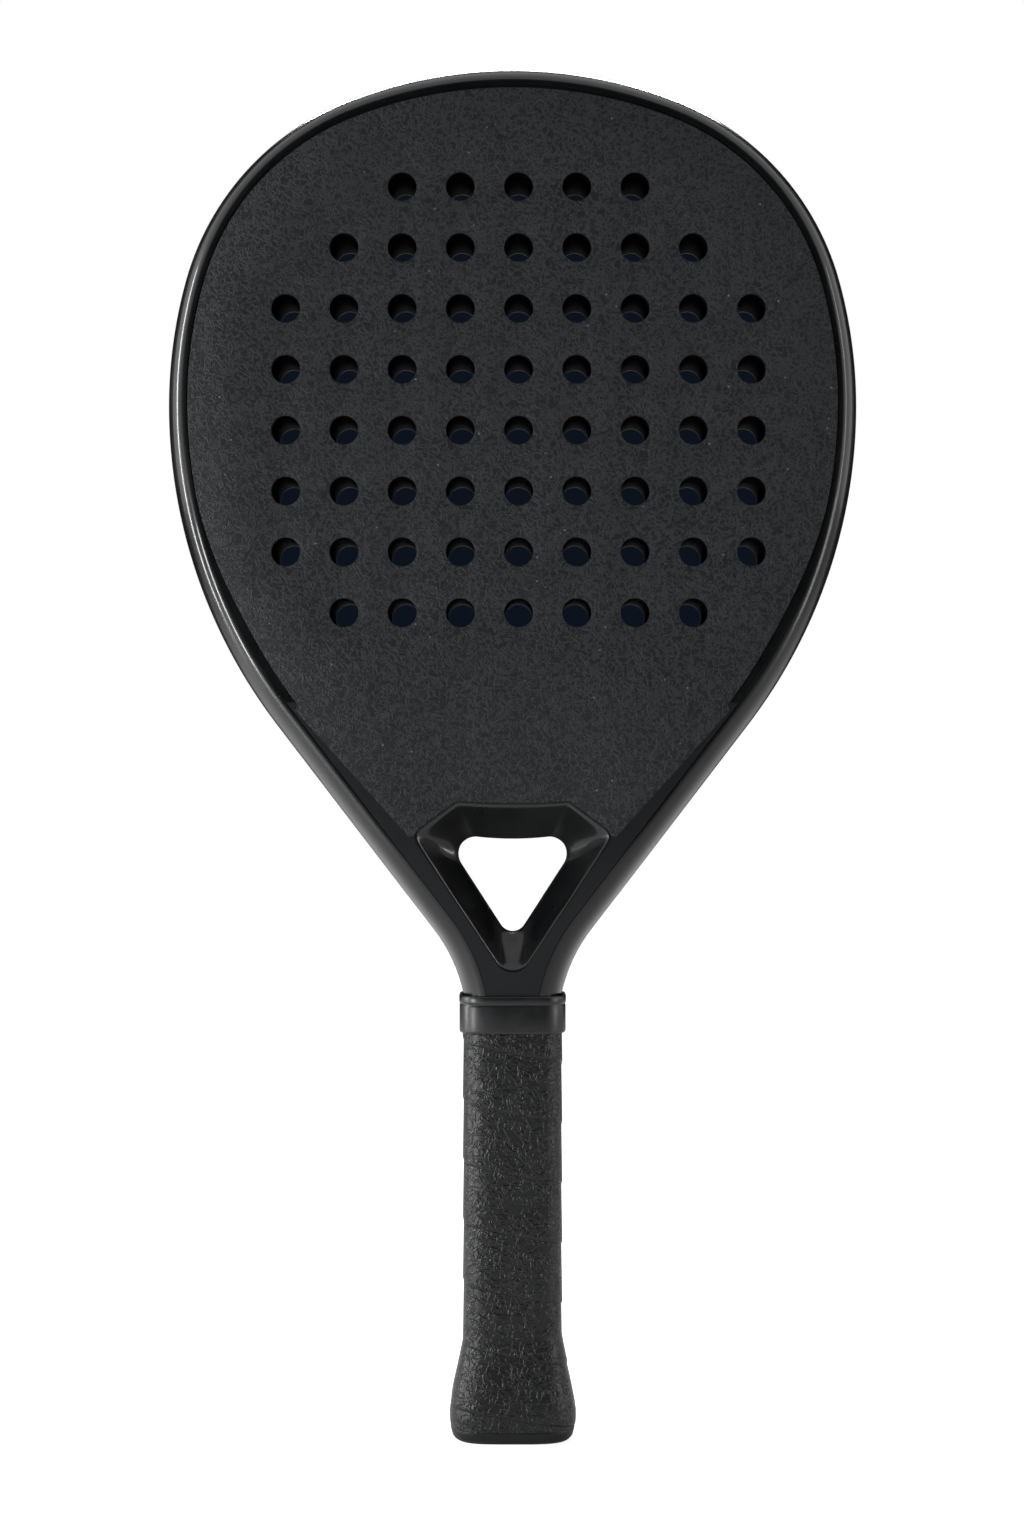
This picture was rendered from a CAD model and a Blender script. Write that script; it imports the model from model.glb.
from math import acos, atan2, ceil, cos, hypot, pi, radians, sin, sqrt

import bmesh
import bpy
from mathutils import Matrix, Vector, kdtree


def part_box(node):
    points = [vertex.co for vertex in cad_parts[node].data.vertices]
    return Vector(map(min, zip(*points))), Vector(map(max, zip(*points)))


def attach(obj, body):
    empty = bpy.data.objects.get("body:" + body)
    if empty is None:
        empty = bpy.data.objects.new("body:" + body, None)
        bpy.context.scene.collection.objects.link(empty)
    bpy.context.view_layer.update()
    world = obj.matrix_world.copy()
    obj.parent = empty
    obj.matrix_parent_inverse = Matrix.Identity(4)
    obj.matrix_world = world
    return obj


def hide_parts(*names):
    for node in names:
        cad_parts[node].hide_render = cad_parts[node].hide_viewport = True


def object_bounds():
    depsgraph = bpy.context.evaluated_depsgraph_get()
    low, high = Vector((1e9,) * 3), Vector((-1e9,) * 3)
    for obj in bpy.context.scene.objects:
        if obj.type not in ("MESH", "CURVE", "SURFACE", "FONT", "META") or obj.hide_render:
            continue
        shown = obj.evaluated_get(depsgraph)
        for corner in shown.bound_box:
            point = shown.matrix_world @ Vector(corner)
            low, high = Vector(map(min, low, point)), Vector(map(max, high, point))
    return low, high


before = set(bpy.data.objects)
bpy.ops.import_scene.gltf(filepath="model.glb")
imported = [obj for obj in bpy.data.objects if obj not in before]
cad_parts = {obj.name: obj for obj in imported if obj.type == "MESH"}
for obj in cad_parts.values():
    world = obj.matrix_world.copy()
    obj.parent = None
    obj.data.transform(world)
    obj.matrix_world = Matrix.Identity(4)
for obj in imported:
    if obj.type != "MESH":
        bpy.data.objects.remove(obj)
cadBounds = [list(corner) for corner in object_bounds()]
mm = 0.001
tau = 2 * pi

# The racket stands on its butt: x across the head, y from front to back, z up the handle.
# Lengths in the dictionaries are millimetres.
body = {
    "length": cadBounds[1][2] / mm,
    "halfWidth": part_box("frame_tube")[1][0] / mm,
    "halfDepth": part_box("frame_tube")[1][1] / mm,
    "collarTop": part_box("grip_collar")[1][2] / mm,
    "collarFoot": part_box("grip_collar")[0][2] / mm,
    "shoulder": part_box("overgrip")[1][2] / mm,  # the grip ends here, under the collar
    "neckHalf": 15.2,  # half the bare handle's width, where the neck's curve ends
    "wideShare": 0.754,  # how far up the head is widest
    "neckShare": 0.299,
    "taperShare": 0.44,  # the depth narrows below this
    "neckDepth": 14.6,  # half the depth at the shoulder
}


# ---- small helpers

def sharpColour(code):
    # an sRGB hex value as the linear colour a shader wants
    def channel(text):
        value = int(text, 16) / 255
        return value / 12.92 if value <= 0.04045 else ((value + 0.055) / 1.055) ** 2.4
    code = code.lstrip("#")
    return tuple(channel(code[i:i + 2]) for i in (0, 2, 4)) + (1.0,)


def finishPiece(bm, name, material, crease=35, replaced=()):
    # turns a bmesh into a piece that rides on the racket
    for face in bm.faces:
        face.smooth = True
    for edge in bm.edges:
        if len(edge.link_faces) == 2:
            edge.smooth = edge.calc_face_angle(0) < radians(crease)
    mesh = bpy.data.meshes.new(name)
    bm.to_mesh(mesh)
    bm.free()
    piece = bpy.data.objects.new(name, mesh)
    bpy.context.scene.collection.objects.link(piece)
    mesh.materials.append(material)
    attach(piece, "root")
    if replaced:
        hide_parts(*replaced)
    return piece


def finishSide(bm, side, name, material, crease, starts, ends=("",)):
    # a piece modelled at the front, turned to the back for side 1
    if side > 0:
        bmesh.ops.scale(bm, verts=bm.verts, vec=(1, -1, 1))
        bmesh.ops.reverse_faces(bm, faces=bm.faces)
    end = "back" if side > 0 else "front"
    nodes = [start + end if start else end + last for start in starts for last in ends]
    return finishPiece(bm, name + end.capitalize(), material, crease, nodes)


def closeUp(bm, gap=0.002):
    bmesh.ops.remove_doubles(bm, verts=bm.verts, dist=gap * mm)
    bmesh.ops.recalc_face_normals(bm, faces=bm.faces)


def addLoop(bm, points, depth):
    # a closed ring of (x, z) points at one depth, or at a depth for each point
    depths = depth if isinstance(depth, list) else [depth] * len(points)
    ring = [bm.verts.new((x * mm, y * mm, z * mm)) for (x, z), y in zip(points, depths)]
    return [bm.edges.new((ring[i - 1], ring[i])) for i in range(len(ring))]


def loft(bm, rings, closed=True):
    # a wall through rings of matching (x, y, z) points: each ring is extruded and moved to the next
    verts = [bm.verts.new(Vector(point) * mm) for point in rings[0]]
    pairs = zip(verts, verts[1:] + verts[:1]) if closed else zip(verts, verts[1:])
    edges = [bm.edges.new(pair) for pair in pairs]
    first = edges
    for here, there in zip(rings, rings[1:]):
        spots = kdtree.KDTree(len(here))
        for i, point in enumerate(here):
            spots.insert(Vector(point) * mm, i)
        spots.balance()
        made = bmesh.ops.extrude_edge_only(bm, edges=edges)["geom"]
        for vert in [g for g in made if isinstance(g, bmesh.types.BMVert)]:
            vert.co = Vector(there[spots.find(vert.co)[1]]) * mm
        edges = [g for g in made if isinstance(g, bmesh.types.BMEdge)]
    return first, edges


def atDepth(points, y):
    # (x, z) points as (x, y, z) ones
    return [(x, y, z) for x, z in points]


# ---- the head's outline: arcs that meet in tangents, a straight side and the neck's hollow curve

def angleOf(x, z):
    return atan2(z, x)


def outlineArcs():
    half = body["halfWidth"]
    wide = body["length"] * body["wideShare"]
    neckZ = body["length"] * body["neckShare"]
    crownR, shoulderR, upperR = half * 1.31, half * 0.786, half * 1.366
    lowerR, neckR = (wide - neckZ) * 0.84, (wide - neckZ) * 0.261
    crown = (0, body["length"] - crownR)
    upper = (half - upperR, wide)
    lower = (half - lowerR, wide)
    neck = (body["neckHalf"] + neckR, neckZ)
    dx, dz = upper[0] - crown[0], upper[1] - crown[1]
    gap = hypot(dx, dz)
    a, b = crownR - shoulderR, upperR - shoulderR
    along = (a * a - b * b + gap * gap) / (2 * gap)
    off = sqrt(a * a - along * along)
    shoulder = (crown[0] + (along * dx + off * dz) / gap, crown[1] + (along * dz - off * dx) / gap)
    crownA = angleOf(shoulder[0] - crown[0], shoulder[1] - crown[1])
    upperA = angleOf(shoulder[0] - upper[0], shoulder[1] - upper[1])
    nx, nz = neck[0] - lower[0], neck[1] - lower[1]
    sideA = angleOf(nx, nz) + acos((lowerR + neckR) / hypot(nx, nz))
    return [
        (crown, crownR, pi / 2, crownA),
        (shoulder, shoulderR, crownA, upperA),
        (upper, upperR, upperA, 0),
        (lower, lowerR, 0, sideA),
        (neck, -neckR, pi + sideA, pi),  # hollow, so its radius is negative
    ]


arcs = outlineArcs()


def sidePoints(inset, stride=4.0):
    # (x, z) points of the right side from the crown to the neck, moved in by inset, which is
    # a length or a function of the height
    points = []
    for centre, radius, start, end in arcs:
        steps = max(2, ceil(abs(end - start) * abs(radius) / stride))
        for i in range(1 if points and radius > 0 else 0, steps + 1):
            angle = start + (end - start) * i / steps
            z = centre[1] + abs(radius) * sin(angle)
            r = abs(radius - (inset(z) if callable(inset) else inset))
            points.append((centre[0] + r * cos(angle), centre[1] + r * sin(angle)))
    return points


def depthAt(z):
    # half the racket's depth at a height: full in the head, slimmer towards the collar
    top = body["length"] * body["taperShare"]
    t = max(0.0, (top - z) / (top - body["shoulder"]))
    soft = 0.1
    eased = (sqrt(t * t + soft * soft) - soft) / (sqrt(1 + soft * soft) - soft)
    return body["halfDepth"] - (body["halfDepth"] - body["neckDepth"]) * eased


def taper(bm):
    # squeezes the depth towards the handle
    for vert in bm.verts:
        vert.co.y *= depthAt(vert.co.z / mm) / body["halfDepth"]


# ---- materials

def node(tree, kind, settings=None, links=None):
    # adds a node, sets its fields and inputs, and links (input, socket) pairs
    made = tree.nodes.new(kind)
    for key, value in (settings or {}).items():
        if isinstance(key, str) and hasattr(made, key) and key not in made.inputs:
            setattr(made, key, value)
        else:
            made.inputs[key].default_value = value
    for key, socket in (links or {}).items():
        tree.links.new(socket, made.inputs[key])
    return made


def newMaterial(name, settings):
    material = bpy.data.materials.new(name)
    material.use_nodes = True
    tree = material.node_tree
    shader = tree.nodes["Principled BSDF"]
    for key, value in settings.items():
        shader.inputs[key].default_value = value
    where = node(tree, "ShaderNodeTexCoord")
    return material, tree, shader, where.outputs["Object"]


def ramp(tree, socket, stops):
    made = node(tree, "ShaderNodeValToRGB", {}, {"Fac": socket})
    elements = made.color_ramp.elements
    while len(elements) < len(stops):
        elements.new(0.5)
    for element, (at, value) in zip(elements, stops):
        element.position = at
        element.color = value if isinstance(value, tuple) else (value, value, value, 1)
    return made.outputs["Color"]


def bump(tree, shader, height, strength, distance, after=None):
    links = {"Height": height}
    if after:
        links["Normal"] = after
    made = node(tree, "ShaderNodeBump", {"Strength": strength, "Distance": distance * mm}, links)
    tree.links.new(made.outputs["Normal"], shader.inputs["Normal"])
    return made.outputs["Normal"]


def lacqueredCarbon():
    # Carbon laminate under sprayed clear lacquer: near black and glossy, with the faint
    # orange peel of sprayed coats and a soft bloom of handling marks.
    material, tree, shader, place = newMaterial("lacqueredCarbon", {
        "IOR": 1.5, "Coat Weight": 0.5, "Coat Roughness": 0.08, "Specular IOR Level": 0.3})
    peel = node(tree, "ShaderNodeTexNoise", {"Scale": 420.0, "Detail": 2.0}, {"Vector": place})  # 2.4 mm
    marks = node(tree, "ShaderNodeTexNoise", {"Scale": 60.0, "Detail": 6.0, "Roughness": 0.65},
                 {"Vector": place})
    colour = ramp(tree, marks.outputs["Fac"], [(0.3, sharpColour("#060708")), (0.75, sharpColour("#0b0c0d"))])
    tree.links.new(colour, shader.inputs["Base Color"])
    rough = ramp(tree, marks.outputs["Fac"], [(0.3, 0.26), (0.8, 0.36)])
    tree.links.new(rough, shader.inputs["Roughness"])
    bump(tree, shader, peel.outputs["Fac"], 0.12, 0.05)
    return material


def satinLaminate():
    # The same laminate with a satin topcoat: an even dark grey that only lifts at a low angle.
    material, tree, shader, place = newMaterial("satinLaminate", {"IOR": 1.5, "Specular IOR Level": 0.25})
    cloud = node(tree, "ShaderNodeTexNoise", {"Scale": 35.0, "Detail": 5.0}, {"Vector": place})
    grit = node(tree, "ShaderNodeTexNoise", {"Scale": 2500.0, "Detail": 2.0}, {"Vector": place})  # 0.4 mm
    colour = ramp(tree, cloud.outputs["Fac"], [(0.3, sharpColour("#0d0e10")), (0.7, sharpColour("#121315"))])
    tree.links.new(colour, shader.inputs["Base Color"])
    rough = ramp(tree, cloud.outputs["Fac"], [(0.3, 0.5), (0.7, 0.6)])
    tree.links.new(rough, shader.inputs["Roughness"])
    bump(tree, shader, grit.outputs["Fac"], 0.25, 0.02)
    return material


def wormTexture(tree, place, scale):
    # short curling ridges, as in a crinkle finish: two sets of contour lines of a fine noise
    lines = []
    for shift in (0.0, 3.7):
        moved = node(tree, "ShaderNodeVectorMath", {"operation": "ADD", 1: (shift, shift, shift)}, {0: place})
        field = node(tree, "ShaderNodeTexNoise", {"Scale": scale, "Detail": 1.5, "Distortion": 0.8},
                     {"Vector": moved.outputs[0]})
        off = node(tree, "ShaderNodeMath", {"operation": "SUBTRACT", 1: 0.5}, {0: field.outputs["Fac"]})
        size = node(tree, "ShaderNodeMath", {"operation": "ABSOLUTE"}, {0: off.outputs[0]})
        lines.append(ramp(tree, size.outputs[0], [(0.0, 1.0), (0.055, 0.0)]))
    return node(tree, "ShaderNodeMath", {"operation": "MAXIMUM"}, {0: lines[0], 1: lines[1]}).outputs[0]


def crinkledFace():
    # Rough-textured resin over carbon cloth: matt charcoal with fine curling wrinkles about
    # 2 mm long, tiny pale flecks where the grit shows, and slow clouds of handling.
    material, tree, shader, place = newMaterial("crinkledFace", {"IOR": 1.5, "Specular IOR Level": 0.3})
    worms = wormTexture(tree, place, 420.0)
    cloud = node(tree, "ShaderNodeTexNoise", {"Scale": 14.0, "Detail": 5.0}, {"Vector": place})
    grains = node(tree, "ShaderNodeTexVoronoi", {"Scale": 260.0}, {"Vector": place})  # 4 mm apart
    chosen = node(tree, "ShaderNodeTexWhiteNoise", {}, {"Vector": grains.outputs["Position"]})
    dots = ramp(tree, grains.outputs["Distance"], [(0.05, 1.0), (0.1, 0.0)])
    some = ramp(tree, chosen.outputs["Value"], [(0.8, 0.0), (0.82, 1.0)])
    flecks = node(tree, "ShaderNodeMath", {"operation": "MULTIPLY"}, {0: dots, 1: some})
    low = ramp(tree, cloud.outputs["Fac"], [(0.3, sharpColour("#0f1012")), (0.7, sharpColour("#151618"))])
    ridge = node(tree, "ShaderNodeMix", {"data_type": "RGBA", 7: sharpColour("#25272a")}, {0: worms, 6: low})
    lit = node(tree, "ShaderNodeMix", {"data_type": "RGBA", 7: sharpColour("#5c5e62")},
               {0: flecks.outputs[0], 6: ridge.outputs[2]})
    tree.links.new(lit.outputs[2], shader.inputs["Base Color"])
    rough = ramp(tree, worms, [(0.0, 0.6), (1.0, 0.45)])
    tree.links.new(rough, shader.inputs["Roughness"])
    bump(tree, shader, worms, 0.9, 0.15)
    return material


def cellFoam():
    # Closed-cell EVA, drilled: dull near-black walls with torn cells.
    material, tree, shader, place = newMaterial("drilledEvaFoam", {"IOR": 1.45, "Specular IOR Level": 0.1})
    cells = node(tree, "ShaderNodeTexVoronoi", {"Scale": 1800.0}, {"Vector": place})
    colour = ramp(tree, cells.outputs["Distance"], [(0.1, sharpColour("#030304")), (0.6, sharpColour("#070708"))])
    tree.links.new(colour, shader.inputs["Base Color"])
    rough = ramp(tree, cells.outputs["Distance"], [(0.1, 0.75), (0.7, 0.9)])
    tree.links.new(rough, shader.inputs["Roughness"])
    bump(tree, shader, cells.outputs["Distance"], 0.3, 0.1)
    return material


def plainInner(name, dark, light, rough, scale):
    # Hidden stock, foamed, woven or moulded: two close tones, dull, with a grain of its own size.
    material, tree, shader, place = newMaterial(name, {"IOR": 1.45})
    grain = node(tree, "ShaderNodeTexNoise", {"Scale": scale, "Detail": 4.0}, {"Vector": place})
    colour = ramp(tree, grain.outputs["Fac"], [(0.3, sharpColour(dark)), (0.7, sharpColour(light))])
    tree.links.new(colour, shader.inputs["Base Color"])
    roughness = ramp(tree, grain.outputs["Fac"], [(0.3, rough), (0.7, min(1.0, rough + 0.1))])
    tree.links.new(roughness, shader.inputs["Roughness"])
    bump(tree, shader, grain.outputs["Fac"], 0.2, 0.1)
    return material


def mouldedRubber():
    # Stretched rubber sleeve: dark with a low sheen that scuffs into cloudy patches.
    material, tree, shader, place = newMaterial("mouldedRubber", {"IOR": 1.5, "Coat Weight": 0.15, "Coat Roughness": 0.3})
    scuff = node(tree, "ShaderNodeTexNoise", {"Scale": 150.0, "Detail": 8.0, "Roughness": 0.7}, {"Vector": place})
    colour = ramp(tree, scuff.outputs["Fac"], [(0.35, sharpColour("#0a0b0c")), (0.75, sharpColour("#131416"))])
    tree.links.new(colour, shader.inputs["Base Color"])
    rough = ramp(tree, scuff.outputs["Fac"], [(0.35, 0.3), (0.7, 0.48)])
    tree.links.new(rough, shader.inputs["Roughness"])
    bump(tree, shader, scuff.outputs["Fac"], 0.25, 0.12)
    return material


def woundPolyurethane():
    # Tacky polyurethane strip on felt: black, with a fine leather grain that catches the light,
    # hand wrinkles and rows of tiny perforations along the strip.
    material, tree, shader, place = newMaterial("woundPolyurethane", {"IOR": 1.5, "Specular IOR Level": 0.4})
    worms = wormTexture(tree, place, 260.0)
    grain = node(tree, "ShaderNodeTexVoronoi", {"Scale": 1500.0}, {"Vector": place})  # 0.7 mm pores
    cloud = node(tree, "ShaderNodeTexNoise", {"Scale": 60.0, "Detail": 5.0}, {"Vector": place})
    strip = node(tree, "ShaderNodeUVMap", {"uv_map": "strip"})
    cell = node(tree, "ShaderNodeVectorMath", {"operation": "FRACTION"},
                {0: node(tree, "ShaderNodeVectorMath", {"operation": "SCALE", "Scale": 1 / 4.4},
                         {0: strip.outputs["UV"]}).outputs[0]})  # perforations 4.4 mm apart
    away = node(tree, "ShaderNodeVectorMath", {"operation": "DISTANCE", 1: (0.5, 0.5, 0.0)},
                {0: cell.outputs[0]})
    pinholes = ramp(tree, away.outputs["Value"], [(0.06, 0.0), (0.1, 1.0)])  # 0.7 mm wide
    colour = ramp(tree, cloud.outputs["Fac"], [(0.3, sharpColour("#0b0c0d")), (0.7, sharpColour("#131415"))])
    dark = node(tree, "ShaderNodeMix", {"data_type": "RGBA", 6: sharpColour("#060607")},
                {0: pinholes, 7: colour})
    tree.links.new(dark.outputs[2], shader.inputs["Base Color"])
    rough = ramp(tree, worms, [(0.0, 0.42), (1.0, 0.34)])
    tree.links.new(rough, shader.inputs["Roughness"])
    first = bump(tree, shader, worms, 0.8, 0.2)
    second = bump(tree, shader, grain.outputs["Distance"], 0.15, 0.08, first)
    bump(tree, shader, pinholes, 0.5, 0.3, second)
    return material


def mouldedNylon():
    # Injection-moulded cap: dark, with the fine even grain of an eroded mould.
    material, tree, shader, place = newMaterial("mouldedNylon", {"IOR": 1.53, "Specular IOR Level": 0.3})
    grain = node(tree, "ShaderNodeTexNoise", {"Scale": 1600.0, "Detail": 3.0}, {"Vector": place})
    colour = ramp(tree, grain.outputs["Fac"], [(0.3, sharpColour("#090a0b")), (0.7, sharpColour("#0e0f10"))])
    tree.links.new(colour, shader.inputs["Base Color"])
    rough = ramp(tree, grain.outputs["Fac"], [(0.3, 0.38), (0.7, 0.48)])
    tree.links.new(rough, shader.inputs["Roughness"])
    bump(tree, shader, grain.outputs["Fac"], 0.2, 0.05)
    return material


lacquer = lacqueredCarbon()
satin = satinLaminate()
face = crinkledFace()
rubber = mouldedRubber()
wrap = woundPolyurethane()
nylon = mouldedNylon()
print("materials made")


# ---- the frame tube, swept round the head

rim = {
    "wide": 7.5,  # how far in the rim's curve runs
    "squareness": 2.2,  # of that curve: 2 is an ellipse
    "stepDown": 0.25,  # how far the tube lies under the band inside the curve
    "inner": 12.6,  # how far in the tube runs
    "wall": 1.8,
    "roundSteps": 28,
    "sideSteps": 16,  # rows along the straight side
}


def rimSection():
    # (distance in from the outline, depth) points: the front half from the widest point in, then the back
    deep = body["halfDepth"] - rim["stepDown"]
    power = 2 / rim["squareness"]
    front = []
    for i in range(1, rim["roundSteps"] + 1):
        a = pi / 2 * i / rim["roundSteps"]
        front.append((rim["wide"] * (1 - cos(a) ** power), -deep * sin(a) ** power))
    front.append((rim["wide"] + 0.2, -deep + rim["stepDown"]))
    front.append((rim["inner"], -deep + rim["stepDown"]))
    return [(0.0, 0.0)] + front + [(u, -y) for u, y in reversed(front)]


def sweptLoop(section):
    # the section carried down the right side, mirrored to the left and closed
    bm = bmesh.new()
    ring = [bm.verts.new((0, y * mm, (body["length"] - u) * mm)) for u, y in section]
    for i in range(len(ring)):
        bm.edges.new((ring[i - 1], ring[i]))
    last = list(bm.verts) + list(bm.edges)
    for index, (centre, radius, start, end) in enumerate(arcs):
        if radius < 0:  # the straight side runs down to the neck's curve
            previous, r, _, a = arcs[index - 1]
            high = Vector((previous[0] + r * cos(a), 0, previous[1] + r * sin(a)))
            low = Vector((centre[0] - radius * cos(start), 0, centre[1] - radius * sin(start)))
            for _ in range(rim["sideSteps"]):
                edges = [g for g in last if isinstance(g, bmesh.types.BMEdge)]
                made = bmesh.ops.extrude_edge_only(bm, edges=edges)["geom"]
                last = [g for g in made if not isinstance(g, bmesh.types.BMFace)]
                moved = [g for g in last if isinstance(g, bmesh.types.BMVert)]
                bmesh.ops.translate(bm, verts=moved, vec=(low - high) * mm / rim["sideSteps"])
        steps = max(3, ceil(abs(end - start) * abs(radius) / 3.0))
        last = bmesh.ops.spin(bm, geom=last, cent=(centre[0] * mm, 0, centre[1] * mm), axis=(0, 1, 0),
                              angle=start - end, steps=steps)["geom_last"]
    bmesh.ops.mirror(bm, geom=list(bm.verts) + list(bm.edges) + list(bm.faces), axis="X",
                     merge_dist=0.0001 * mm)
    bmesh.ops.holes_fill(bm, edges=[e for e in bm.edges if e.is_boundary])
    closeUp(bm)
    taper(bm)
    return bm


def makeRim():
    return finishPiece(sweptLoop(rimSection()), "frameRim", lacquer, 50, ["frame_tube"])


def makeTubeFoam():
    # the foam inside the tube, clear of the rim's crowned wall
    wall = rim["wall"]
    middle = (rim["inner"] + rim["wide"]) / 2
    section = [(middle + (u - middle) * (1 - wall / middle * 1.3), y * (1 - wall / body["halfDepth"]))
               for u, y in rimSection()]
    return finishPiece(sweptLoop(section), "tubeFoam", inner["tube_fill"], 50, ["tube_fill"])


makeRim()
print("frame rim swept")


# ---- the throat: its mouth and its opening as rings with matching points

throat = {
    "half": 12.2,  # half-width between the opening's upper corners
    "cornerR": 6.2,
    "cornerZ": body["length"] * 0.4264,
    "footR": 4.8,
    "footZ": body["length"] * 0.3793,
    "mouthTop": (17.6, body["length"] * 0.4593, 2.0),
    "mouthWing": (28.7, body["length"] * 0.4264 + 6, 2.6),
    "mouthFoot": (0.0, body["length"] * 0.3472, 6.0),
    "bevel": 12.0,  # depth of the bevel
    "sag": 0.7,  # how far the middle of the top edges hangs
    "hollow": 0.7,  # how far the bevel is hollowed
    "bevelSteps": 8,
}


def tangentAngle(a, b):
    # the outward angle of the line that touches circles a and b on their right, going down
    dx, dz = b[0] - a[0], b[1] - a[1]
    return atan2(dz, dx) + acos((a[2] - b[2]) / hypot(dx, dz))


def ringThrough(circles, counts, grow=0.0):
    # (x, z) points round circles (x, z, r), clockwise from the top, with counts points on each arc and side
    points = []
    for i, here in enumerate(circles):
        before, after = circles[i - 1], circles[(i + 1) % len(circles)]
        start, end = tangentAngle(before, here), tangentAngle(here, after)
        while end > start:
            end -= tau
        r = here[2] + grow
        for k in range(counts[i][0] + 1):
            a = start + (end - start) * k / counts[i][0]
            points.append((here[0] + r * cos(a), here[1] + r * sin(a)))
        nextR = after[2] + grow
        p = points[-1]
        q = (after[0] + nextR * cos(end), after[1] + nextR * sin(end))
        for k in range(1, counts[i][1]):
            share = k / counts[i][1]
            points.append((p[0] + (q[0] - p[0]) * share, p[1] + (q[1] - p[1]) * share))
    return points


def sagged(points, half, top):
    # lets the middle of a ring's top edge hang a little
    out = []
    for x, z in points:
        share = max(0.0, 1 - (x / half) ** 2) if z > top - 3 else 0.0
        out.append((x, z - throat["sag"] * share))
    return out


def mouthRing(grow=0.0):
    topR, wingR = throat["mouthTop"], throat["mouthWing"]
    foot = throat["mouthFoot"]
    circles = [topR, wingR, foot, (-wingR[0], wingR[1], wingR[2]), (-topR[0], topR[1], topR[2])]
    ring = ringThrough(circles, [(4, 6), (4, 16), (14, 16), (4, 6), (4, 14)], grow)
    return sagged(ring, topR[0], topR[1] + topR[2] + grow)


def openingRing(grow=0.0):
    # the opening's upper corners are each split in two, so that its points match the mouth's
    half, z, r = throat["half"], throat["cornerZ"], throat["cornerR"]
    foot = (0.0, throat["footZ"], throat["footR"])
    circles = [(half, z, r), foot, (-half, z, r)]
    ring = ringThrough(circles, [(14, 16), (14, 16), (14, 14)], grow)
    return sagged(ring, half, z + r + grow)


def bevelPoint(start, end, share):
    # a point of the bevel, which runs from the mouth at the full depth to the opening
    return (start[0] + (end[0] - start[0]) * share, start[1] + (end[1] - start[1]) * share)


def mouthShares():
    # how far along the bevel each of its lines comes out of the tapered face
    shares = []
    for start, end in zip(mouthRing(), openingRing()):
        share = 0.0
        for _ in range(12):
            share = (body["halfDepth"] - depthAt(bevelPoint(start, end, share)[1])) / throat["bevel"]
        shares.append(share)
    return shares


def mouthAtFace(grow=0.0, proud=0.0):
    # the bevel's edge where it meets the face, as (x, y, z) points
    points = []
    for start, end, share in zip(mouthRing(grow), openingRing(grow), mouthShares()):
        x, z = bevelPoint(start, end, share)
        points.append((x, -depthAt(z) - proud, z))
    return points


def makeLiner(side):
    # half of the liner: a rounded lip at the face, a hollow bevel, a rounded edge and the straight wall
    bm = bmesh.new()
    inner = throat["bevel"] - body["halfDepth"]
    rings = [mouthAtFace(0.9, -0.6), mouthAtFace(0.9, 0.02), mouthAtFace(0.3, 0.02), mouthAtFace(0.1, -0.06)]
    shares = mouthShares()
    for k in range(throat["bevelSteps"]):
        t = (k + 0.6) / (throat["bevelSteps"] + 0.6)
        ring = []
        for start, end, share in zip(mouthRing(), openingRing(), shares):
            here = share + (1 - share) * t
            x, z = bevelPoint(start, end, here)
            ring.append((x, -body["halfDepth"] + throat["bevel"] * here + throat["hollow"] * sin(pi * t), z))
        rings.append(ring)
    for grow, y in ((0.0, inner), (-0.15, inner + 0.15), (-0.2, inner + 0.5), (-0.2, 0.0), (0.85, 0.0),
                    (0.85, inner)):
        rings.append(atDepth(openingRing(grow), y))
    rings.append(rings[0])
    loft(bm, rings)
    closeUp(bm)
    return finishSide(bm, side, "throatLiner", lacquer, 40, ["throat_liner_"])


for side in (-1, 1):
    makeLiner(side)
print("throat lined")


# ---- the two faces

plate = {
    "inset": 7.9,  # of the face's edge, at the sides
    "crownInset": 1.0,  # how much more that is at the crown
    "lowInset": 2.4,  # and along the straight sides
    "bandTop": 312.0,  # the satin band shows beside the face below this
    "proud": 0.1,  # how far a face stands over the band round it
    "thick": 1.4,
    "chamfer": 0.15,
    "foot": (34.0, body["length"] * 0.44),  # lower corner of the face, and how its edge spreads
    "slope": 0.9,
    "holeR": 4.75,
    "holeLip": 0.3,
    "holeSteps": 32,
    "rows": [5, 7, 9, 9, 9, 9, 9, 7],
    "pitchX": 2 * body["halfWidth"] * 0.0834,
    "pitchZ": body["length"] * 0.0439,
    "topRow": body["length"] * 0.909,
    "shift": 2.0,
    "yokeRows": 14,
}


def holePlaces():
    for row, count in enumerate(plate["rows"]):
        for i in range(count):
            yield (plate["shift"] + (i - (count - 1) / 2) * plate["pitchX"],
                   plate["topRow"] - row * plate["pitchZ"])


def faceInset(z):
    wide = body["length"] * body["wideShare"]
    rise = max(0.0, (z - wide) / (body["length"] - wide))
    drop = min(1.0, max(0.0, (plate["bandTop"] - z) / 56))
    return plate["inset"] + plate["crownInset"] * rise * rise + plate["lowInset"] * drop * drop * (3 - 2 * drop)


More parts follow.
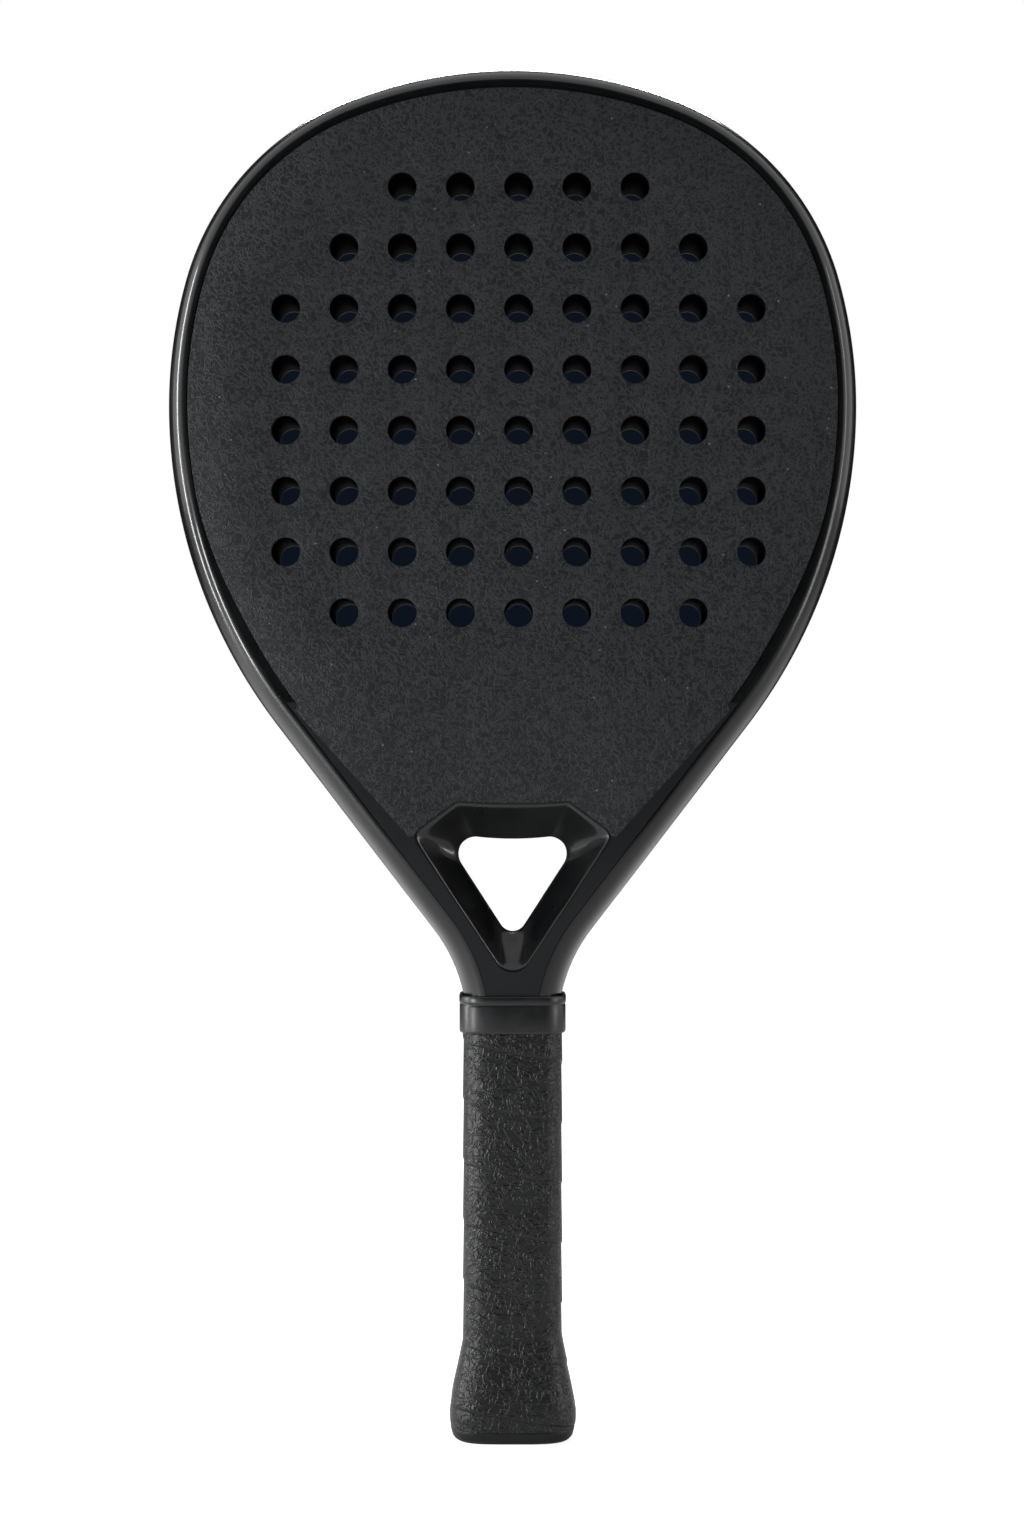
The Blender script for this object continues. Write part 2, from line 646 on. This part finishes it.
def faceEdge(extra):
    # the ring of a face's edge: round the head, down both slanting feet, over the throat's mouth
    footX, footZ = plate["foot"]
    right = []
    for x, z in sidePoints(lambda z: faceInset(z) + extra):
        limit = footX - extra * 1.35 + (z - footZ) * plate["slope"]
        if x > limit:
            break
        right.append((x, z))
    last, limitSlope = right[-1], plate["slope"]
    gap = (footX - extra * 1.35 + (last[1] - footZ) * limitSlope) - last[0]
    meet = (last[0] - 0.8 * gap * 0.8, last[1] - 0.8 * gap)
    right.append((footX - extra * 1.35 + (meet[1] - footZ) * limitSlope, meet[1]))
    right.append((footX - extra * 1.35, footZ + extra * 0.2))
    mouth = [p for p in mouthRing(0.95 + extra) if p[1] > footZ]
    overMouth = sorted((p for p in mouth), key=lambda p: -p[0])
    left = [(-x, z) for x, z in reversed(right[1:])]
    return right + overMouth + left


def makeFace(side):
    bm = bmesh.new()
    top = -body["halfDepth"] - plate["proud"]
    low = -body["halfDepth"] + plate["thick"]
    c, r, lip = plate["chamfer"], plate["holeR"], plate["holeLip"]
    loft(bm, [atDepth(faceEdge(c), top), atDepth(faceEdge(c * 0.3), top + c * 0.3),
              atDepth(faceEdge(0), top + c), atDepth(faceEdge(0), low)])
    profile = [(r + lip, top), (r + lip * 0.5, top + lip * 0.13), (r + lip * 0.13, top + lip * 0.5),
               (r, top + lip), (r, low)]
    for x, z in holePlaces():
        line = [bm.verts.new(((x + out) * mm, y * mm, z * mm)) for out, y in profile]
        edges = [bm.edges.new(pair) for pair in zip(line, line[1:])]
        bmesh.ops.spin(bm, geom=line + edges, cent=(x * mm, 0, z * mm), axis=(0, 1, 0), angle=tau,
                       steps=plate["holeSteps"], use_merge=True)
    for y in (top, low):
        rims = [e for e in bm.edges if e.is_boundary and all(abs(v.co.y / mm - y) < 1e-4 for v in e.verts)]
        bmesh.ops.triangle_fill(bm, edges=rims, use_beauty=True, normal=(0, -1 if y == top else 1, 0))
    closeUp(bm, 0.0005)
    return finishSide(bm, side, "face", face, 25, [""], ["_skin", "_ply"])


for side in (-1, 1):
    makeFace(side)
print("faces drilled")


# ---- the satin plates over the yoke, between the rim and the throat's mouth

def makeYoke(side):
    bm = bmesh.new()
    floor = body["shoulder"] + 2
    right = [(x, z) for x, z in sidePoints(rim["wide"] + 0.3, 3.0) if floor < z < plate["foot"][1] + 45]
    right.append((right[-1][0], floor))
    edges = addLoop(bm, right + [(-x, z) for x, z in reversed(right)], 0)
    edges += addLoop(bm, [(x, z) for x, _, z in mouthAtFace(0.5)], 0)
    bmesh.ops.triangle_fill(bm, edges=edges, use_beauty=True, normal=(0, -1, 0))
    for k in range(1, plate["yokeRows"]):  # rows of edges, so that the plate can follow the taper
        z = floor + (plate["foot"][1] + 8 - floor) * k / plate["yokeRows"]
        bmesh.ops.bisect_plane(bm, geom=list(bm.verts) + list(bm.edges) + list(bm.faces),
                               plane_co=(0, 0, z * mm), plane_no=(0, 0, 1))
    for vert in bm.verts:
        vert.co.y = (0.02 - depthAt(vert.co.z / mm)) * mm
    bmesh.ops.recalc_face_normals(bm, faces=bm.faces)
    if sum(f.normal.y for f in bm.faces) > 0:
        bmesh.ops.reverse_faces(bm, faces=bm.faces)
    bmesh.ops.solidify(bm, geom=list(bm.faces), thickness=0.8 * mm)
    closeUp(bm, 0.0005)
    return finishSide(bm, side, "yokePlate", satin, 30, ["yoke_plate_"])


for side in (-1, 1):
    makeYoke(side)
print("yoke plated")


# ---- the handle: a rounded section that every turned piece is carried to

handle = {
    "halfWidth": 16.6,
    "halfDepth": 15.0,
    "corner": 4.0,  # how square the section is: 2 is an ellipse
    "flare": 4.6,
    "flareShare": 0.75,  # of the flare, towards the front and back
    "flareTop": 34.0,
    "belly": 9.0,
    "draw": 1.5,  # how far the flare draws in under its belly
}


def flareAt(z):
    # how far the butt flares at a height
    if z >= handle["flareTop"]:
        return 0.0
    if z > handle["belly"]:
        t = (handle["flareTop"] - z) / (handle["flareTop"] - handle["belly"])
        return handle["flare"] * (0.75 * t + 0.25 * t * t * (3 - 2 * t))
    t = (handle["belly"] - z) / handle["belly"]
    return handle["flare"] - handle["draw"] * t * t


def onHandle(angle, z, out):
    # the point of the handle's section at an angle, moved out by out, in millimetres
    a = handle["halfWidth"] + flareAt(z) + out
    b = handle["halfDepth"] + flareAt(z) * handle["flareShare"] + out
    n = handle["corner"]
    c, s = cos(angle), sin(angle)
    r = (abs(c / a) ** n + abs(s / b) ** n) ** (-1 / n)
    return (r * c * mm, r * s * mm, z * mm)


def turned(profile, steps=96):
    # spins (out, z) points once round and carries them to the handle's section
    bm = bmesh.new()
    far = 100.0
    line = [bm.verts.new(((far + out) * mm, 0, z * mm)) for out, z in profile]
    edges = [bm.edges.new(pair) for pair in zip(line, line[1:] + line[:1])]
    bmesh.ops.spin(bm, geom=line + edges, cent=(0, 0, 0), axis=(0, 0, 1), angle=tau, steps=steps, use_merge=True)
    for vert in bm.verts:
        x, y, z = vert.co
        vert.co = onHandle(atan2(y, x), z / mm, hypot(x, y) / mm - far)
    closeUp(bm)
    return bm


strip = {
    "pitch": 20.0,  # height of one turn of the strip
    "start": 133.6,  # height of the first seam at the handle's left side
    "turns": 8,
    "edge": 0.42,  # how far the strip's edge stands over the turn below
    "round": 0.9,  # width of the edge's rounding
    "across": 14,
    "around": 72,
}


def makeStrip():
    # one strip wound down the handle: spun as a screw, then laid on the handle's section
    bm = bmesh.new()
    uv = bm.loops.layers.uv.new("strip")
    pitch, far = strip["pitch"], 100.0
    shares = [0.0, 0.0, 0.02, 0.05, 0.09, 0.14] + [0.14 + 0.86 * k / 8 for k in range(1, 9)]
    line = []
    for k, share in enumerate(shares):
        line.append(bm.verts.new(((far + 10 * share + (0.0 if k else -0.5)) * mm, 0, pitch * share * mm)))
    edges = [bm.edges.new(pair) for pair in zip(line, line[1:])]
    steps = strip["turns"] * strip["around"]
    bmesh.ops.spin(bm, geom=line + edges, cent=(0, 0, 0), axis=(0, 0, 1), angle=tau * strip["turns"],
                   dvec=(0, 0, -pitch * mm / strip["around"]), steps=steps)
    places = {}
    for vert in bm.verts:
        x, y, z = vert.co
        coded = hypot(x, y) / mm - far
        tucked = coded < -0.25
        share = 0.0 if tucked else coded / 10
        angle = atan2(y, x)
        height = z / mm
        turn = (pitch * share - height) / pitch  # turns wound so far
        ridge = min(1.0, share * pitch / strip["round"])
        lift = strip["edge"] * (sin(pi / 2 * ridge) * (1 - 0.8 * share) if not tucked else -0.6)
        if share == 0.0 and not tucked:
            lift = 0.0
        wound = strip["start"] + height
        places[vert] = (turn * 100.0, share * pitch)
        vert.co = onHandle(angle + pi, wound, lift - strip["edge"] * 0.9)
    for polygon in bm.faces:
        for loop in polygon.loops:
            loop[uv].uv = places[loop.vert]
    for z, outward in ((body["collarTop"] - 5, True), (4.2, False)):
        bmesh.ops.bisect_plane(bm, geom=list(bm.verts) + list(bm.edges) + list(bm.faces), plane_co=(0, 0, z * mm),
                               plane_no=(0, 0, 1), clear_outer=outward, clear_inner=not outward)
    bmesh.ops.recalc_face_normals(bm, faces=bm.faces)
    outwards = sum(f.normal.dot(Vector((f.calc_center_median().x, f.calc_center_median().y, 0))) for f in bm.faces)
    if outwards < 0:
        bmesh.ops.reverse_faces(bm, faces=bm.faces)
    bmesh.ops.solidify(bm, geom=list(bm.faces), thickness=0.35 * mm)
    return finishPiece(bm, "woundGrip", wrap, 50, ["overgrip"])


makeStrip()


def makeBase():
    # the cushion sleeve the strip is wound over
    top, foot = body["collarTop"] - 6, 5.0
    rows = 30  # enough to follow the flare
    heights = [foot + (top - foot) * k / rows for k in range(rows + 1)]
    sleeve = turned([(-0.6, z) for z in heights] + [(-0.95, z) for z in reversed(heights)])
    return finishPiece(sleeve, "cushionSleeve", inner["base_grip"], 60, ["base_grip"])


def makeTape():
    # the finishing tape that holds the strip's end, under the collar
    low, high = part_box("finishing_tape")
    foot, top = low[2] / mm + 0.2, high[2] / mm - 0.2
    ring = turned([(-0.5, foot), (0.0, foot), (0.0, top), (-0.5, top)])
    return finishPiece(ring, "finishTape", inner["finishing_tape"], 60, ["finishing_tape"])


print("grip wound")

collar = {
    "out": 1.2,
    "bead": 2.7,  # height of the bead at its top
    "groove": 0.35,
}


def makeCollar():
    top, foot = body["collarTop"], body["collarFoot"]
    out, g = collar["out"], collar["groove"]
    bead = top - collar["bead"]
    profile = [(0.1, top), (out - 0.5, top), (out - 0.15, top - 0.15), (out, top - 0.6), (out, bead + 0.5),
               (out - 0.12, bead + 0.15), (out - g, bead), (out - g, bead - 0.3), (out - 0.22, bead - 0.5),
               (out - 0.12, bead - 1.0), (out - 0.1, foot + 0.8), (out - 0.2, foot + 0.25), (out - 0.5, foot),
               (0.1, foot)]
    return finishPiece(turned(profile), "gripCollar", rubber, 60, ["grip_collar"])


makeCollar()

cap = {
    "top": 4.6,
    "round": 2.4,
    "strapHoleR": 2.5,
    "strapHoleX": 6.08,
    "well": 8.0,
}


def makeCap():
    # the cap's base: a rounded rim, a flat sole and two wells for the wrist cord
    top, r = cap["top"], cap["round"]
    profile = [(-3.0, top), (-0.7, top), (-0.25, top - 0.15), (-0.1, top - 0.5), (-0.1, top - 1.2)]
    for k in range(1, 7):
        a = pi / 2 * k / 6
        profile.append((-0.1 - r * (1 - cos(a)), max(0.0, r * (1 - sin(a)))))
    bm = bmesh.new()
    far = 100.0
    line = [bm.verts.new(((far + out) * mm, 0, z * mm)) for out, z in profile]
    edges = [bm.edges.new(pair) for pair in zip(line, line[1:])]
    bmesh.ops.spin(bm, geom=line + edges, cent=(0, 0, 0), axis=(0, 0, 1), angle=tau, steps=96, use_merge=True)
    for vert in bm.verts:
        x, y, z = vert.co
        vert.co = onHandle(atan2(y, x), z / mm, hypot(x, y) / mm - far)
    for x in (-cap["strapHoleX"], cap["strapHoleX"]):
        hole = [(cap["strapHoleR"] + 0.3, 0.0), (cap["strapHoleR"], 0.3), (cap["strapHoleR"], cap["well"])]
        pins = [bm.verts.new(((x + out) * mm, 0, z * mm)) for out, z in hole]
        sides = [bm.edges.new(pair) for pair in zip(pins, pins[1:])]
        bmesh.ops.spin(bm, geom=pins + sides, cent=(x * mm, 0, 0), axis=(0, 0, 1), angle=tau, steps=32, use_merge=True)
    sole = [e for e in bm.edges if e.is_boundary and all(abs(v.co.z) < 1e-6 for v in e.verts)]
    bmesh.ops.triangle_fill(bm, edges=sole, use_beauty=True, normal=(0, 0, -1))
    rest = [e for e in bm.edges if e.is_boundary]
    bmesh.ops.holes_fill(bm, edges=rest)
    closeUp(bm, 0.0005)
    return finishPiece(bm, "buttCap", nylon, 40, ["butt_cap"])


makeCap()
print("collar and cap turned")


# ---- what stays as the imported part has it, inside the racket

inner = {
    "core_slab": cellFoam(),
    "tube_fill": plainInner("expandedFoam", "#b5b1a0", "#cbc8ba", 0.85, 900.0),
    "base_grip": plainInner("cushionTape", "#131416", "#1b1c1e", 0.8, 1200.0),
    "cap_staples": plainInner("drawnSteelWire", "#8b8f93", "#a9adb1", 0.35, 500.0),
}
inner["handle_web"] = inner["tube_fill"]
inner["throat_core"] = satin
inner["handle_pallet_front"] = inner["handle_pallet_back"] = inner["tube_fill"]
inner["finishing_tape"] = inner["base_grip"]
makeTubeFoam()
makeBase()
makeTape()
for name, material in inner.items():
    if name in ("tube_fill", "base_grip", "finishing_tape"):
        continue
    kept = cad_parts[name]
    kept.data.materials.clear()
    kept.data.materials.append(material)


# ---- stage: floor, background, lamps and camera

studio = {
    "floorGlow": 0.8,
    "floorTone": "#f4f4f4",
    "worldLight": 0.3,
    "key": 3.0,  # watts of each lamp
    "side": 6.0,
    "soft": 9.0,
    "top": 5.0,
    "flagAway": 1500.0,  # distance of the black cloths, their half-width and their height
    "flagReach": 1900.0,
    "flagHigh": 2400.0,
}


def flatSheet(name, corners, material):
    bm = bmesh.new()
    bm.faces.new([bm.verts.new([c * mm for c in corner]) for corner in corners])
    mesh = bpy.data.meshes.new(name)
    bm.to_mesh(mesh)
    bm.free()
    mesh.materials.append(material)
    sheet = bpy.data.objects.new(name, mesh)
    bpy.context.scene.collection.objects.link(sheet)
    return sheet


def floorPaint():
    # white paper: to the camera it is lit from within as well, so that it stays white but keeps the shadow
    material, tree, shader, place = newMaterial("whitePaper", {"Roughness": 0.9})
    shader.inputs["Base Color"].default_value = sharpColour(studio["floorTone"])
    path = node(tree, "ShaderNodeLightPath")
    seen = node(tree, "ShaderNodeMath", {"operation": "MULTIPLY", 1: studio["floorGlow"]},
                {0: path.outputs["Is Camera Ray"]})
    shader.inputs["Emission Color"].default_value = (1, 1, 1, 1)
    tree.links.new(seen.outputs[0], shader.inputs["Emission Strength"])
    return material


def darkBeyond():
    # what the drilled holes look out on: a dark card, seen from its front only
    material, tree, shader, place = newMaterial("darkCard", {"Roughness": 0.9})
    shader.inputs["Base Color"].default_value = sharpColour("#06090d")
    shader.inputs["Emission Color"].default_value = sharpColour("#0b121c")
    shader.inputs["Emission Strength"].default_value = 1.0
    side = node(tree, "ShaderNodeNewGeometry")
    clear = node(tree, "ShaderNodeBsdfTransparent")
    mixed = node(tree, "ShaderNodeMixShader", {}, {0: side.outputs["Backfacing"], 1: shader.outputs[0],
                                                   2: clear.outputs[0]})
    tree.links.new(mixed.outputs[0], tree.nodes["Material Output"].inputs["Surface"])
    return material


flatSheet("floor", [(-4000, -3000, 0), (4000, -3000, 0), (4000, 4000, 0), (-4000, 4000, 0)], floorPaint())

cardPaint = darkBeyond()
reachX = plate["pitchX"] * 4 + 9
lowZ = plate["topRow"] - 7 * plate["pitchZ"] - 9
topZ = plate["topRow"] + 9
for side in (1, -1):
    y = side * (body["halfDepth"] + 1.2)
    corners = [(plate["shift"] - 70, y, lowZ), (plate["shift"] + 70, y, lowZ),
               (plate["shift"] + reachX, y, lowZ + 22), (plate["shift"] + reachX, y, topZ - 40),
               (plate["shift"] + 50, y, topZ), (plate["shift"] - 50, y, topZ),
               (plate["shift"] - reachX, y, topZ - 40), (plate["shift"] - reachX, y, lowZ + 22)]
    if side < 0:
        corners.reverse()
    card = flatSheet("holeCard" + ("Back" if side > 0 else "Front"), corners, cardPaint)
    card.visible_diffuse = card.visible_glossy = card.visible_shadow = card.visible_transmission = False

world = bpy.data.worlds.new("studio")
bpy.context.scene.world = world
world.use_nodes = True
sky = world.node_tree
glow = sky.nodes["Background"]
path = node(sky, "ShaderNodeLightPath")
direct = node(sky, "ShaderNodeMath", {"operation": "MAXIMUM"},
              {0: path.outputs["Is Camera Ray"], 1: path.outputs["Is Glossy Ray"]})
anyDirect = node(sky, "ShaderNodeMath", {"operation": "MAXIMUM"},
                 {0: direct.outputs[0], 1: path.outputs["Is Transmission Ray"]})
strength = node(sky, "ShaderNodeMapRange", {"To Min": studio["worldLight"], "To Max": 1.0},
                {"Value": anyDirect.outputs[0]})
glow.inputs["Color"].default_value = (1, 1, 1, 1)
sky.links.new(strength.outputs[0], glow.inputs["Strength"])


def blackCloth():
    # black velvet: it takes nearly all the light
    material, tree, shader, place = newMaterial("blackCloth", {"Roughness": 1.0, "Specular IOR Level": 0.0})
    shader.inputs["Base Color"].default_value = sharpColour("#060606")
    return material


clothPaint = blackCloth()


def flag(name, y):
    # a black cloth before and behind the racket, which only mirrors see: it keeps the black faces black
    reach, high = studio["flagReach"], studio["flagHigh"]
    made = flatSheet(name, [(-reach, y, 1), (reach, y, 1), (reach, y, high), (-reach, y, high)], clothPaint)
    made.visible_camera = made.visible_diffuse = made.visible_shadow = made.visible_transmission = False


flag("flagFront", -studio["flagAway"])
flag("flagBack", studio["flagAway"])


def lamp(name, place, aim, size, power):
    light = bpy.data.lights.new(name, "AREA")
    light.shape = "RECTANGLE"
    light.size, light.size_y = size
    light.energy = power
    made = bpy.data.objects.new(name, light)
    made.location = place
    made.rotation_euler = (Vector(aim) - Vector(place)).to_track_quat("-Z", "Y").to_euler()
    bpy.context.scene.collection.objects.link(made)
    made.visible_camera = False
    return made


def around(name, angle, distance, height, size, power):
    # an upright strip lamp at an angle from the front, negative to the left
    a = radians(angle)
    return lamp(name, (distance * sin(a), -distance * cos(a), height), (0, 0, height * 0.9), size, power)


around("sideLeft", -92, 0.9, 0.36, (0.07, 0.8), studio["side"])
around("frontLeft", -52, 0.8, 0.10, (0.09, 0.30), studio["key"])
soft = around("softLeft", -50, 1.1, 0.40, (0.6, 0.7), studio["soft"])
soft.visible_glossy = False
around("sideRight", 76, 0.9, 0.36, (0.05, 0.8), studio["side"] * 0.2)
around("frontRight", 66, 0.9, 0.12, (0.05, 0.3), studio["key"] * 0.2)
lamp("topBack", (0.0, 0.85, 0.95), (0, 0, 0.4), (0.6, 0.08), studio["top"])

eye = {
    "distance": 950.0,
    "height": 222.8,
    "across": -0.2,
    "tall": 514.0,  # height of the view at the racket
}
cameraData = bpy.data.cameras.new("camera")
cameraData.sensor_width = 36
cameraData.lens = 36 * eye["distance"] / eye["tall"]
camera = bpy.data.objects.new("camera", cameraData)
camera.location = (eye["across"] * mm, -eye["distance"] * mm, eye["height"] * mm)
camera.rotation_euler = (pi / 2, 0, 0)
bpy.context.scene.collection.objects.link(camera)
bpy.context.scene.camera = camera
bpy.context.scene.view_settings.view_transform = "Standard"
print("stage set")
